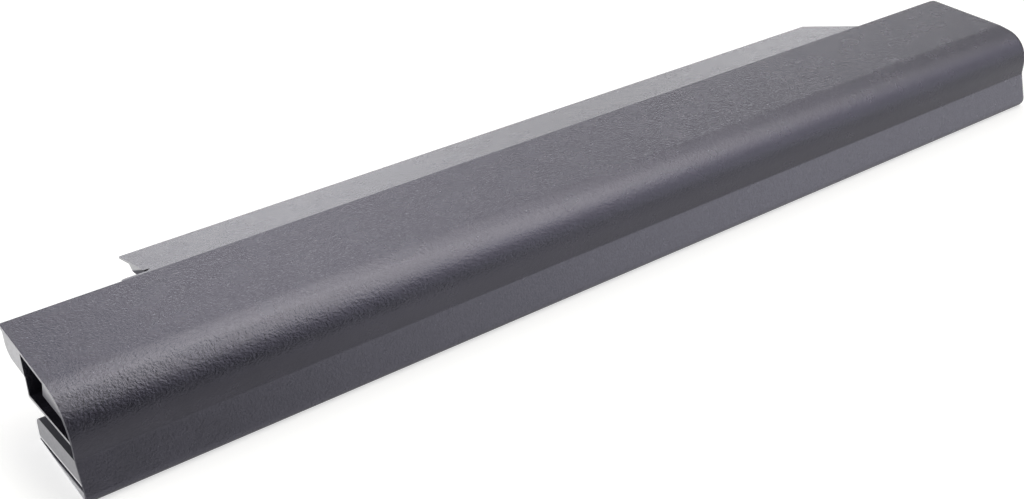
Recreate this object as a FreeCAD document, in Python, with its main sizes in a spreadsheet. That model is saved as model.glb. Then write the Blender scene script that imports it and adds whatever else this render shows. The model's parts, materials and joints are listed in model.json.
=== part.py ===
import FreeCAD, Part
import os
from types import SimpleNamespace

import Sketcher

# Laptop battery: a deep front tube that holds four round cells in a row, a thin rear part
# with the circuit board, and a tongue along the rear edge.
#
# Every piece is drawn in the case's own corner frame: x from the left end, y from the front
# face to the tongue, z from the underside. Its Placement then moves it to the shared frame,
# whose origin is the middle of the underside.

# Driving sizes, in millimetres
SIZES = (
    # One cell over its sleeve, and the details of its can
    ("cell_diameter", 18.2),
    ("cell_length", 65.2),
    ("sleeve_wall", 0.1),
    ("sleeve_lap", 2.0),
    ("cap_diameter", 8.0),
    ("cap_height", 1.0),
    ("groove_place", 3.6),
    ("groove_width", 1.6),
    ("groove_depth", 0.6),
    ("ring_wall", 0.3),
    ("ring_bore_gap", 0.5),
    # Nickel strip that joins the cells
    ("strip_wall", 0.2),
    ("fold_gap", 0.2),
    ("strip_height", 7.0),
    ("riser_width", 4.0),
    ("spot_width", 4.0),
    ("strip_gap", 0.3),
    # Room round the cells
    ("cell_gap", 0.1),
    ("wire_space", 1.2),
    ("end_pad_wall", 0.4),
    ("end_pad_diameter", 16.0),
    ("tape_width", 6.0),
    ("tape_length", 50.0),
    # Walls of the case
    ("top_wall", 1.0),
    ("front_wall", 1.1),
    ("base_wall", 0.9),
    ("rear_wall", 1.0),
    ("end_wall", 1.2),
    ("bulkhead_wall", 1.0),
    ("seam_gap", 0.1),
    # Form of the front, from the underside up to the top face
    ("corner_overhang", 0.6),
    ("corner_radius", 1.8),
    ("front_setback", 2.2),
    ("facet_height", 9.1),
    ("facet_radius", 4.0),
    ("shoulder_radius", 8.0),
    ("band_depth", 9.8),
    ("band_drop", 1.3),
    ("crease_radius", 12.0),
    ("heel_radius", 1.0),
    # Thin rear part
    ("thin_depth", 11.0),
    ("thin_height", 5.9),
    ("thin_radius", 3.0),
    ("rear_overhang", 1.4),
    # Tongue along the rear edge
    ("tongue_depth", 15.4),
    ("tongue_drop", 4.1),
    ("tongue_root", 3.2),
    ("tongue_tip", 0.5),
    ("tongue_belly", 1.9),
    ("lip_reach", 5.5),
    ("lip_slope", 1.4),
    ("tongue_start", 29.9),
    ("tongue_length", 210.3),
    ("tongue_slant", 5.0),
    ("ledge_length", 5.2),
    ("ledge_depth", 0.9),
    ("ledge_height", 0.7),
    ("notch_length", 1.3),
    ("notch_taper", 0.9),
    ("notch_width", 1.0),
    # Open left end with its hook
    ("end_recess", 8.0),
    ("end_skin", 0.7),
    ("end_swell", 1.5),
    ("end_reveal", 0.1),
    ("end_skew", 1.1),
    ("brace_wall", 1.0),
    ("brace_reach", 12.5),
    ("brace_lean", 1.6),
    ("brace_front_drop", 3.7),
    ("brace_rear_drop", 4.4),
    ("web_wall", 0.6),
    ("web_offset", 0.35),
    ("shelf_height", 9.35),
    ("shelf_wall", 0.7),
    ("hook_height", 6.0),
    ("hook_setback", 0.5),
    ("hook_wall", 1.0),
    ("lip_wall", 0.4),
    ("lip_gap", 0.25),
    ("hook_radius", 2.2),
    # Rounded right end
    ("end_radius", 2.0),
    ("plan_radius", 3.5),
    # Ribs of the base cover
    ("rib_wall", 1.0),
    ("rib_gap", 0.15),
    ("rib_place", 15.0),
    # Circuit board and what it lies on
    ("film_wall", 0.2),
    ("film_margin", 2.0),
    ("board_tape_wall", 0.6),
    ("board_tape_length", 12.0),
    ("board_wall", 0.8),
    ("board_gap", 0.4),
    ("board_reach", 6.0),
    # Connector
    ("connector_place", 152.0),
    ("contact_pitch", 2.5),
    ("connector_margin", 1.6),
    ("connector_depth", 5.2),
    ("connector_recess", 0.6),
    ("connector_gap", 0.1),
    ("slot_width", 1.0),
    ("slot_depth", 4.0),
    ("slot_frame", 0.5),
    ("blade_wall", 0.4),
    ("blade_margin", 0.2),
    ("tail_length", 2.0),
    ("tail_gap", 0.05),
    # Parts on the board
    ("chip_height", 1.0),
    ("gauge_length", 7.8),
    ("gauge_width", 4.4),
    ("protector_length", 3.0),
    ("fet_length", 6.0),
    ("fet_width", 5.0),
    ("fuse_length", 6.0),
    ("fuse_width", 3.2),
    ("fuse_height", 1.4),
    ("resistor_length", 6.4),
    ("resistor_width", 3.2),
    ("resistor_height", 0.6),
    ("small_length", 1.6),
    ("small_width", 0.8),
    ("small_height", 0.8),
    ("small_pitch", 2.6),
    # Thermistor and the two leads
    ("bead_diameter", 2.0),
    ("bead_length", 3.4),
    ("bead_wire", 0.4),
    ("bead_spread", 1.0),
    ("bead_gap", 0.6),
    ("lead_diameter", 1.6),
    ("lead_lap", 3.0),
)

CELL_COUNT = 4
CONTACT_COUNT = 7
RIBS_PER_CELL = 2
CAPACITOR_COUNT = 6
RESISTOR_COUNT = 8
# Length of cutting forms past what they cut
PAST = 2.0
DIAGONAL = 2 ** 0.5


class Size:
    """A length with its number and the sheet expression that gives it."""

    def __init__(self, value, text):
        self.value = value
        self.text = text

    def __add__(self, other):
        other = as_size(other)
        return Size(self.value + other.value, f"({self.text} + {other.text})")

    def __radd__(self, other):
        return as_size(other) + self

    def __sub__(self, other):
        other = as_size(other)
        return Size(self.value - other.value, f"({self.text} - {other.text})")

    def __rsub__(self, other):
        return as_size(other) - self

    def __mul__(self, other):
        other = as_size(other)
        return Size(self.value * other.value, f"({self.text} * {other.text})")

    def __rmul__(self, other):
        return as_size(other) * self

    def __truediv__(self, other):
        other = as_size(other)
        return Size(self.value / other.value, f"({self.text} / {other.text})")

    def __neg__(self):
        return as_size(0) - self


def as_size(number):
    """Wrap a plain number, so that it can stand beside a size."""
    if isinstance(number, Size):
        return number
    return Size(float(number), repr(float(number)))


doc = FreeCAD.newDocument("laptop_battery")
sheet = doc.addObject("Spreadsheet::Sheet", "Sizes")
s = SimpleNamespace()
for row, (alias, number) in enumerate(SIZES, start=1):
    sheet.set(f"A{row}", alias)
    sheet.set(f"B{row}", str(number))
    sheet.setAlias(f"B{row}", alias)
    setattr(s, alias, Size(number, "Sizes." + alias))
doc.recompute()

nodes = {}


def bind(thing, prop, size):
    """Set a property from a size and tie it to the sheet."""
    size = as_size(size)
    thing.setExpression(prop, size.text)


# Sizes of the case that follow from what it holds
cell_radius = s.cell_diameter / 2
joint_gap = 2 * s.strip_wall + s.fold_gap
end_gap = s.end_pad_wall + s.strip_wall
row_length = CELL_COUNT * s.cell_length + (CELL_COUNT - 1) * joint_gap
row_start = s.end_recess + s.bulkhead_wall + end_gap
case_length = row_start + row_length + end_gap + s.end_wall
case_height = s.base_wall + 2 * s.cell_gap + s.cell_diameter + s.top_wall
front_inside = s.front_setback + s.front_wall
cell_y = front_inside + s.cell_gap + cell_radius
cell_z = s.base_wall + s.cell_gap + cell_radius
tube_inside = cell_y + cell_radius + s.wire_space
tube_depth = tube_inside + s.rear_wall
body_depth = tube_depth + s.thin_depth
case_depth = body_depth + s.tongue_depth
wall_rear = body_depth - s.rear_overhang
ceiling = case_height - s.top_wall
thin_under = case_height - s.thin_height
thin_floor = thin_under + s.base_wall
right_inside = case_length - s.end_wall

shift_x = -case_length / 2
shift_y = -case_depth / 2


def place(thing, x, y, z):
    """Put a piece at a point of the case's corner frame, seen from the shared frame."""
    bind(thing, "Placement.Base.x", x + shift_x)
    bind(thing, "Placement.Base.y", y + shift_y)
    bind(thing, "Placement.Base.z", as_size(z))


def keep(thing, name):
    """Name a finished piece and list it for export."""
    thing.Label = name
    nodes[name] = thing
    return thing


# Drawing helpers
def new_sketch(body, role, height):
    """Add a sketch on one of the body's origin planes, raised along the plane's normal."""
    sketch = body.newObject("Sketcher::SketchObject", body.Name + "_outline")
    plane = [item for item in body.Origin.OriginFeatures if item.Role == role][0]
    sketch.AttachmentSupport = [(plane, "")]
    sketch.MapMode = "FlatFace"
    bind(sketch, "AttachmentOffset.Base.z", height)
    return sketch


def draw(sketch, corners):
    """Draw a closed outline, each corner held by its two distances from the sketch's origin."""
    first = sketch.GeometryCount
    count = len(corners)
    points = [(as_size(corner[0]), as_size(corner[1])) for corner in corners]
    for index, (across, up) in enumerate(points):
        next_across, next_up = points[(index + 1) % count]
        start = FreeCAD.Vector(across.value, up.value, 0)
        end = FreeCAD.Vector(next_across.value, next_up.value, 0)
        sketch.addGeometry(Part.LineSegment(start, end), False)
    for index in range(count):
        line = first + index
        following = first + (index + 1) % count
        sketch.addConstraint(Sketcher.Constraint("Coincident", line, 2, following, 1))
    for index, (across, up) in enumerate(points):
        for kind, size in (("DistanceX", across), ("DistanceY", up)):
            held = Sketcher.Constraint(kind, -1, 1, first + index, 1, size.value)
            number = sketch.addConstraint(held)
            sketch.setExpression(f"Constraints[{number}]", size.text)


def add_pad(body, role, corners, start, length):
    """Pad an outline from a start height along the plane's normal."""
    sketch = new_sketch(body, role, start)
    draw(sketch, corners)
    pad = body.newObject("PartDesign::Pad", body.Name + "_pad")
    pad.Profile = sketch
    bind(pad, "Length", length)
    return pad


def add_pocket(body, role, corners, start, length):
    """Cut an outline into the body from a start height along the plane's normal."""
    sketch = new_sketch(body, role, start)
    draw(sketch, corners)
    pocket = body.newObject("PartDesign::Pocket", body.Name + "_pocket")
    pocket.Profile = sketch
    pocket.Reversed = True
    bind(pocket, "Length", length)
    return pocket


def add_fillet(body, edges, radius):
    """Round the named edges of the body's last feature."""
    base = body.Tip
    fillet = body.newObject("PartDesign::Fillet", body.Name + "_round")
    fillet.Base = (base, edges)
    bind(fillet, "Radius", radius)
    doc.recompute()
    return fillet


def edges_near(shape, test):
    """Names of the edges whose two ends both pass a test."""
    found = []
    for number, edge in enumerate(shape.Edges, start=1):
        if len(edge.Vertexes) == 2 and all(test(end.Point) for end in edge.Vertexes):
            found.append(f"Edge{number}")
    return found


NEAR = 1e-4


def section_form(name, corners, start, length):
    """A body with one section along x. A corner with a third value is rounded by it."""
    body = doc.addObject("PartDesign::Body", name)
    add_pad(body, "YZ_Plane", corners, start, length)
    doc.recompute()
    for corner in corners:
        if len(corner) < 3:
            continue
        across = as_size(corner[0]).value
        up = as_size(corner[1]).value
        picked = edges_near(
            body.Tip.Shape,
            lambda point: abs(point.y - across) < NEAR and abs(point.z - up) < NEAR,
        )
        add_fillet(body, picked, corner[2])
    return body


def plan_form(name, corners, start, length):
    """A body with one outline in plan, raised along z."""
    body = doc.addObject("PartDesign::Body", name)
    add_pad(body, "XY_Plane", corners, start, length)
    return body


def block(name, low, high):
    """A plain block between two corners of the case's corner frame, not yet placed."""
    box = doc.addObject("Part::Box", name)
    for prop, first, last in zip(("Length", "Width", "Height"), low, high):
        bind(box, prop, as_size(last) - as_size(first))
    for axis, first in zip("xyz", low):
        bind(box, "Placement.Base." + axis, first)
    return box


def placed_block(name, low, high):
    """A block that is a piece of its own, in the shared frame."""
    box = block(name, low, high)
    place(box, as_size(low[0]), as_size(low[1]), low[2])
    return keep(box, name)


def fuse(name, parts):
    """Join forms into one solid."""
    joined = doc.addObject("Part::MultiFuse", name)
    joined.Shapes = parts
    joined.Refine = True
    return joined


def cut(name, base, tool):
    """Take one form away from another."""
    result = doc.addObject("Part::Cut", name)
    result.Base = base
    result.Tool = tool
    result.Refine = True
    return result


def place_joined(thing, name):
    """Place and keep a piece whose parts are drawn in the corner frame."""
    place(thing, as_size(0), as_size(0), 0)
    return keep(thing, name)


# Upper shell: the outside form of the whole case, hollowed from below
outside_full = section_form(
    "outside_full",
    (
        (-s.corner_overhang, 0, s.corner_radius),
        (s.front_setback, s.facet_height, s.facet_radius),
        (s.front_setback, case_height - s.band_drop, s.shoulder_radius),
        (s.front_setback + s.band_depth, case_height, s.crease_radius),
        (body_depth, case_height),
        (body_depth, 0),
    ),
    as_size(0),
    case_length,
)
# The rim of the right end is softened along the front and the top
rim = edges_near(
    outside_full.Tip.Shape,
    lambda point: abs(point.x - case_length.value) < NEAR
    and (point.z > NEAR or point.y < tube_depth.value)
    and point.y < body_depth.value + NEAR
    and not (point.z < NEAR and point.y > s.corner_radius.value + NEAR),
)
add_fillet(outside_full, rim[:1], s.end_radius)

# What lies below and behind the thin rear part
rear_space = section_form(
    "rear_space",
    (
        (tube_depth - 2 * s.heel_radius, -PAST),
        (tube_depth - 2 * s.heel_radius, 0),
        (tube_depth, 0, s.heel_radius),
        (tube_depth, thin_under),
        (wall_rear, thin_under, s.thin_radius),
        (wall_rear, ceiling),
        (body_depth + PAST, ceiling),
        (body_depth + PAST, -PAST),
    ),
    as_size(-PAST),
    case_length + 2 * PAST,
)
# The rear corner of the right end is round in plan
corner_block = block(
    "corner_block",
    (case_length - s.plan_radius, body_depth - s.plan_radius, as_size(-PAST)),
    (case_length + PAST, body_depth + PAST, case_height + PAST),
)
corner_post = doc.addObject("Part::Cylinder", "corner_post")
bind(corner_post, "Radius", s.plan_radius)
bind(corner_post, "Height", case_height + 4 * PAST)
bind(corner_post, "Placement.Base.x", case_length - s.plan_radius)
bind(corner_post, "Placement.Base.y", body_depth - s.plan_radius)
bind(corner_post, "Placement.Base.z", -2 * PAST)
corner_space = cut("corner_space", corner_block, corner_post)
outside_space = doc.addObject("Part::MultiFuse", "outside_space")
outside_space.Shapes = [rear_space, corner_space]
outside = cut("outside", outside_full, outside_space)

# Behind the open left end, a web and a shelf stand past the tube's rear face
web_front = tube_depth + s.web_offset
web_rear = web_front + s.web_wall
left_block = block(
    "left_block",
    (s.end_reveal, cell_y, s.shelf_height),
    (s.end_recess + s.bulkhead_wall, web_rear, thin_under + s.base_wall),
)

# Tongue: a tapered plate that slopes down from the rear edge, its right end slanted in plan
tongue_fall = s.tongue_drop / s.tongue_depth
lip_y = case_depth - s.lip_reach
belly_y = lip_y - s.lip_slope
tongue_corners = (
    (body_depth, case_height),
    (case_depth, case_height - s.tongue_drop),
    (case_depth, case_height - s.tongue_drop - s.tongue_tip),
    (lip_y, case_height - tongue_fall * (lip_y - body_depth) - s.tongue_tip),
    (belly_y, case_height - tongue_fall * (belly_y - body_depth) - s.tongue_belly),
    (body_depth, case_height - s.tongue_root),
)
tongue = section_form("tongue", tongue_corners, s.tongue_start, s.tongue_length)
tongue_end = s.tongue_start + s.tongue_length
add_pocket(
    tongue,
    "XY_Plane",
    (
        (tongue_end, body_depth),
        (tongue_end + PAST, body_depth),
        (tongue_end + PAST, case_depth + PAST),
        (tongue_end - s.tongue_slant * (s.tongue_depth + PAST) / s.tongue_depth, case_depth + PAST),
    ),
    as_size(0),
    case_height + PAST,
)

# A narrow notch with a tapered end parts the tongue's left end from the ledge in front of it
ledge_rear = body_depth + s.ledge_depth
notch_end = s.tongue_start + s.notch_length
add_pocket(
    tongue,
    "XY_Plane",
    (
        (s.tongue_start - PAST, ledge_rear),
        (notch_end - s.notch_taper, ledge_rear),
        (notch_end, ledge_rear + s.notch_width),
        (s.tongue_start - PAST, ledge_rear + s.notch_width),
    ),
    as_size(0),
    case_height + PAST,
)

# Small ledge that carries the tongue's slope on to the left, its end slanted in plan
ledge_start = s.tongue_start - s.ledge_length
ledge_low = case_height - tongue_fall * s.ledge_depth - s.ledge_height
ledge = section_form(
    "ledge",
    (
        (body_depth, case_height),
        (ledge_rear, case_height - tongue_fall * s.ledge_depth),
        (ledge_rear, ledge_low),
        (body_depth, ledge_low),
    ),
    ledge_start,
    s.ledge_length,
)
add_pocket(
    ledge,
    "XY_Plane",
    (
        (ledge_start - PAST, body_depth),
        (ledge_start + s.ledge_depth, ledge_rear),
        (ledge_start + s.ledge_depth, ledge_rear + PAST),
        (ledge_start - PAST, ledge_rear + PAST),
    ),
    as_size(0),
    case_height + PAST,
)

shell_form = fuse("shell_form", [outside, left_block, tongue, ledge])

# What the shell leaves free: the room for cells, board and base cover
lower_inside = s.front_wall + s.corner_overhang / 2
main_hollow = section_form(
    "main_hollow",
    (
        (lower_inside, -PAST),
        (lower_inside, s.corner_radius + s.base_wall),
        (front_inside, s.facet_height),
        (front_inside, ceiling, cell_radius + s.cell_gap),
        (wall_rear + s.rear_overhang + PAST, ceiling),
        (wall_rear + s.rear_overhang + PAST, -PAST),
    ),
    s.end_recess + s.bulkhead_wall,
    right_inside - s.end_recess - s.bulkhead_wall,
)
thin_hollow = block(
    "thin_hollow",
    (s.end_wall, web_rear, -PAST),
    (s.end_recess + s.bulkhead_wall + PAST, body_depth + PAST, ceiling),
)
upper_cavity = section_form(
    "upper_cavity",
    (
        (front_inside, s.shelf_height + s.shelf_wall),
        (front_inside, ceiling, cell_radius + s.cell_gap - s.shelf_wall),
        (web_front, ceiling),
        (web_front, s.shelf_height + s.shelf_wall),
    ),
    as_size(-PAST),
    s.end_recess + PAST,
)
facet_slope = (s.front_setback + s.corner_overhang) / s.facet_height
slot_front = front_inside - facet_slope * (s.facet_height - s.hook_height)
hook_rear = tube_depth - s.hook_setback
rail_slot = section_form(
    "rail_slot",
    (
        (slot_front, s.hook_height),
        (front_inside, s.facet_height),
        (front_inside, s.shelf_height),
        (web_rear + PAST, s.shelf_height),
        (web_rear + PAST, -PAST),
        (hook_rear, -PAST),
        (hook_rear, s.hook_height, s.hook_radius),
    ),
    as_size(-PAST),
    s.end_recess + PAST,
)
hook_under = s.lip_wall + s.lip_gap
hook_roof = s.hook_height - s.hook_wall
hook_front = front_inside - facet_slope * (s.facet_height - hook_roof)
hook_hollow = section_form(
    "hook_hollow",
    (
        (lower_inside, -PAST),
        (lower_inside, s.corner_radius + s.base_wall),
        (hook_front, hook_roof),
        (hook_rear - s.hook_wall, hook_roof),
        (hook_rear - s.hook_wall, -PAST),
    ),
    s.end_reveal + s.end_skew + s.hook_wall,
    s.end_recess - s.end_reveal - s.end_skew - s.hook_wall,
)
base_space = block(
    "base_space",
    (-PAST, lower_inside, -PAST),
    (s.end_recess + s.bulkhead_wall + PAST, web_rear + PAST, hook_under),
)
# The inner ends step back behind the skin, further at the front than at the rear. The skin is
# thickest at the shoulder
skin_inside = section_form(
    "skin_inside",
    (
        (s.front_wall, -PAST),
        (s.front_wall, s.corner_radius + s.base_wall),
        (s.front_setback + s.end_skin, s.facet_height),
        (s.front_setback + s.end_skin, case_height - s.band_drop - s.end_skin, s.shoulder_radius + s.end_swell),
        (s.front_setback + s.band_depth, case_height - s.end_skin),
        (web_front, case_height - s.end_skin),
        (web_front, -PAST),
    ),
    as_size(-PAST),
    2 * PAST,
)
skew_wedge = plan_form(
    "skew_wedge",
    (
        (as_size(-PAST), as_size(0)),
        (s.end_reveal + s.end_skew, as_size(0)),
        (s.end_reveal, web_front),
        (as_size(-PAST), web_front),
    ),
    as_size(-PAST),
    case_height + 2 * PAST,
)
skew_cut = doc.addObject("Part::Common", "skew_cut")
skew_cut.Base = skin_inside
skew_cut.Tool = skew_wedge
shell_space = doc.addObject("Part::MultiFuse", "shell_space")
shell_space.Shapes = [main_hollow, thin_hollow, upper_cavity, rail_slot, hook_hollow, base_space, skew_cut]
hollow_shell = cut("hollow_shell", shell_form, shell_space)

# A brace fills the upper front corner just inside the skin. Half of its edge lies in the skin
brace_outline = section_form(
    "brace_outline",
    (
        (s.front_setback + s.end_skin / 2, s.facet_height),
        (s.front_setback + s.end_skin / 2, case_height - s.band_drop - s.end_skin / 2, s.shoulder_radius),
        (s.front_setback + s.band_depth, case_height - s.end_skin / 2),
        (web_front, case_height - s.end_skin / 2),
        (web_front, s.facet_height),
    ),
    s.end_reveal,
    s.brace_wall,
)
brace_rear = s.front_setback + s.brace_reach
brace_corner = section_form(
    "brace_corner",
    (
        (as_size(0), case_height - s.brace_front_drop),
        (brace_rear, case_height - s.brace_rear_drop),
        (brace_rear - s.brace_lean, case_height),
        (as_size(0), case_height),
    ),
    as_size(0),
    s.end_reveal + s.brace_wall,
)
brace = doc.addObject("Part::Common", "brace")
brace.Base = brace_outline
brace.Tool = brace_corner
upper_shell = place_joined(fuse("upper_shell_form", [hollow_shell, brace]), "upper_shell")

# Base cover: underside plate, rear wall of the tube, floor and rear wall of the thin part
cover_front = lower_inside + s.seam_gap
cover_left = s.end_recess + s.bulkhead_wall + s.seam_gap
cover_right = right_inside - s.seam_gap
cover_top = ceiling - s.seam_gap / 2
wall_inside = wall_rear - s.rear_wall
inner_radius = s.thin_radius - s.rear_wall
cover_main = section_form(
    "cover_main",
    (
        (cover_front, 0),
        (tube_depth, 0, s.heel_radius),
        (tube_depth, thin_under),
        (wall_rear, thin_under, s.thin_radius),
        (wall_rear, cover_top),
        (wall_inside, cover_top),
        (wall_inside, thin_floor, inner_radius),
        (tube_inside, thin_floor),
        (tube_inside, s.base_wall),
        (cover_front, s.base_wall),
    ),
    cover_left,
    cover_right - cover_left,
)
rib_leg = 2 * cell_radius + s.wire_space + s.cell_gap - DIAGONAL * (cell_radius + s.rib_gap)
for cell in range(CELL_COUNT):
    for rib in range(RIBS_PER_CELL):
        across = s.rib_place + rib * (s.cell_length - 2 * s.rib_place - s.rib_wall)
        add_pad(
            cover_main,
            "YZ_Plane",
            (
                (tube_inside - rib_leg, s.base_wall),
                (tube_inside, s.base_wall + rib_leg),
                (tube_inside + s.rear_wall / 2, s.base_wall + rib_leg),
                (tube_inside + s.rear_wall / 2, s.base_wall / 2),
                (tube_inside - rib_leg, s.base_wall / 2),
            ),
            row_start + cell * (s.cell_length + joint_gap) + across,
            s.rib_wall,
        )
# A thinner lip of the plate reaches under the hook
cover_lip = block(
    "cover_lip",
    (s.end_reveal, cover_front, as_size(0)),
    (cover_left, hook_rear, s.lip_wall),
)
cover_thin = section_form(
    "cover_thin",
    (
        (web_rear + s.seam_gap, thin_under),
        (wall_rear, thin_under, s.thin_radius),
        (wall_rear, cover_top),
        (wall_inside, cover_top),
        (wall_inside, thin_floor, inner_radius),
        (web_rear + s.seam_gap, thin_floor),
    ),
    s.end_wall + s.seam_gap,
    cover_left - s.end_wall - s.seam_gap,
)
cover_form = fuse("cover_form", [cover_main, cover_lip, cover_thin])

housing_half = (CONTACT_COUNT - 1) / 2 * s.contact_pitch + s.connector_margin
housing_left = s.connector_place - housing_half
housing_right = s.connector_place + housing_half
housing_rear = wall_rear - s.connector_recess
housing_front = housing_rear - s.connector_depth
housing_low = thin_floor + s.connector_gap
housing_high = ceiling - s.connector_gap
connector_window = block(
    "connector_window",
    (housing_left - s.connector_gap, wall_inside - PAST, thin_floor),
    (housing_right + s.connector_gap, wall_rear + PAST, ceiling + PAST),
)
base_cover = place_joined(cut("base_cover_form", cover_form, connector_window), "base_cover")


# Cells, each a crimped steel can in a thin sleeve, with an insulating ring on its cap end
can_radius = cell_radius - s.sleeve_wall
shoulder = s.cell_length - s.cap_height
cap_radius = s.cap_diameter / 2
groove = shoulder - s.groove_place


def turned(name, corners):
    """A body turned about x from its half section, given as (along x, from the axis)."""
    body = doc.addObject("PartDesign::Body", name)
    sketch = new_sketch(body, "XY_Plane", as_size(0))
    draw(sketch, corners)
    turn = body.newObject("PartDesign::Revolution", name + "_turn")
    turn.Profile = sketch
    turn.ReferenceAxis = (sketch, ["H_Axis"])
    turn.Angle = 360
    return body


def make_cell(number):
    """One cell, its sleeve, its ring and the tape below it, along the row."""
    start = row_start + (number - 1) * (s.cell_length + joint_gap)
    can = turned(
        f"cell_{number}",
        (
            (s.sleeve_wall, 0),
            (s.sleeve_wall, can_radius),
            (groove, can_radius),
            (groove + s.groove_depth, can_radius - s.groove_depth),
            (groove + s.groove_width - s.groove_depth, can_radius - s.groove_depth),
            (groove + s.groove_width, can_radius),
            (shoulder - s.groove_depth, can_radius),
            (shoulder, can_radius - s.groove_depth),
            (shoulder, cap_radius),
            (s.cell_length, cap_radius),
            (s.cell_length, 0),
        ),
    )
    sleeve = turned(
        f"cell_sleeve_{number}",
        (
            (as_size(0), cell_radius - s.sleeve_lap),
            (as_size(0), cell_radius),
            (shoulder - s.groove_depth, cell_radius),
            (shoulder + s.sleeve_wall, cell_radius - s.groove_depth - s.sleeve_wall),
            (shoulder + s.sleeve_wall, cell_radius - s.sleeve_lap),
            (shoulder, cell_radius - s.sleeve_lap),
            (shoulder, can_radius - s.groove_depth),
            (shoulder - s.groove_depth, can_radius),
            (s.sleeve_wall, can_radius),
            (s.sleeve_wall, cell_radius - s.sleeve_lap),
        ),
    )
    ring_inner = cap_radius + s.ring_bore_gap
    ring_outer = cell_radius - s.groove_depth - s.sleeve_wall
    ring = turned(
        f"insulator_ring_{number}",
        (
            (shoulder + s.sleeve_wall, ring_inner),
            (shoulder + s.sleeve_wall, ring_outer),
            (shoulder + s.sleeve_wall + s.ring_wall, ring_outer),
            (shoulder + s.sleeve_wall + s.ring_wall, ring_inner),
        ),
    )
    for piece in (can, sleeve, ring):
        place(piece, start, cell_y, cell_z)
        keep(piece, piece.Name)
    middle = start + s.cell_length / 2
    placed_block(
        f"cell_tape_{number}",
        (middle - s.tape_length / 2, cell_y - s.tape_width / 2, s.base_wall),
        (middle + s.tape_length / 2, cell_y + s.tape_width / 2, s.base_wall + s.cell_gap),
    )


for number in range(1, CELL_COUNT + 1):
    make_cell(number)

# Circuit board, on two foam tapes over an insulating film
film_front = tube_depth
film_rear = wall_inside - inner_radius
board_left = row_start + s.cell_length - s.board_reach
board_right = row_start + (CELL_COUNT - 1) * (s.cell_length + joint_gap) - joint_gap + s.board_reach
board_front = tube_depth + s.board_gap
board_rear = wall_inside - s.board_gap
board_under = thin_floor + s.film_wall + s.board_tape_wall
board_top = board_under + s.board_wall
film_sheet = block(
    "film_sheet",
    (board_left - s.film_margin, film_front, thin_floor),
    (board_right + s.film_margin, film_rear, thin_floor + s.film_wall),
)
# The housing stands through the film, so the film has the same notch as the board
film_notch = block(
    "film_notch",
    (housing_left - s.connector_gap, housing_front - s.connector_gap, thin_floor - PAST),
    (housing_right + s.connector_gap, film_rear + PAST, board_under),
)
place_joined(cut("insulating_film_form", film_sheet, film_notch), "insulating_film")
for number, tape_start in ((1, board_left), (2, board_right - s.board_tape_length)):
    placed_block(
        f"board_tape_{number}",
        (tape_start, board_front, thin_floor + s.film_wall),
        (tape_start + s.board_tape_length, film_rear, board_under),
    )
board_plate = block(
    "board_plate",
    (board_left, board_front, board_under),
    (board_right, board_rear, board_top),
)
board_notch = block(
    "board_notch",
    (housing_left - s.connector_gap, housing_front - s.connector_gap, board_under - PAST),
    (housing_right + s.connector_gap, board_rear + PAST, board_top + PAST),
)
place_joined(cut("circuit_board_form", board_plate, board_notch), "circuit_board")


# Nickel strips: leaves on the cell ends, a riser behind the cells and a foot on the board
spine_front = cell_y + cell_radius + s.strip_gap
foot_rear = board_front + s.tail_length


def make_strip(name, leaves, spot_side, riser_start):
    """A folded strip. Leaves are the x starts of its flat ends."""
    low = cell_z - s.strip_height / 2
    high = cell_z + s.strip_height / 2
    parts = []
    for count, start in enumerate(leaves):
        parts.append(
            block(
                f"{name}_leaf_{count}",
                (start, cell_y - s.strip_height / 2, low),
                (start + s.strip_wall, spine_front + s.strip_wall, high),
            )
        )
    first = leaves[0]
    last = leaves[-1] + s.strip_wall
    parts.append(
        block(f"{name}_spine", (first, spine_front, low), (last, spine_front + s.strip_wall, high))
    )
    parts.append(
        block(
            f"{name}_riser",
            (riser_start, spine_front, cell_z),
            (riser_start + s.riser_width, spine_front + s.strip_wall, board_top + s.strip_wall),
        )
    )
    parts.append(
        block(
            f"{name}_foot",
            (riser_start, spine_front, board_top),
            (riser_start + s.riser_width, foot_rear, board_top + s.strip_wall),
        )
    )
    if spot_side:
        parts.append(
            block(
                f"{name}_spot",
                (last, cell_y - s.spot_width / 2, cell_z - s.spot_width / 2),
                (last + s.sleeve_wall, cell_y + s.spot_width / 2, cell_z + s.spot_width / 2),
            )
        )
    place_joined(fuse(name + "_form", parts), name)


tab_left = row_start - s.strip_wall
make_strip("negative_tab", [tab_left], True, tab_left)
for number in range(1, CELL_COUNT):
    joint = row_start + number * (s.cell_length + joint_gap) - joint_gap
    make_strip(
        f"cell_link_{number}",
        [joint, joint + s.strip_wall + s.fold_gap],
        True,
        joint + joint_gap / 2 - s.riser_width / 2,
    )
tab_right = row_start + row_length
make_strip("positive_tab", [tab_right], False, tab_right + s.strip_wall - s.riser_width)

# Foam pads between the end tabs and the case
for name, start in (("end_pad_left", tab_left - s.end_pad_wall), ("end_pad_right", tab_right + s.strip_wall)):
    pad = turned(
        name,
        (
            (as_size(0), 0),
            (as_size(0), s.end_pad_diameter / 2),
            (s.end_pad_wall, s.end_pad_diameter / 2),
            (s.end_pad_wall, 0),
        ),
    )
    place(pad, start, cell_y, cell_z)
    keep(pad, name)

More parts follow.
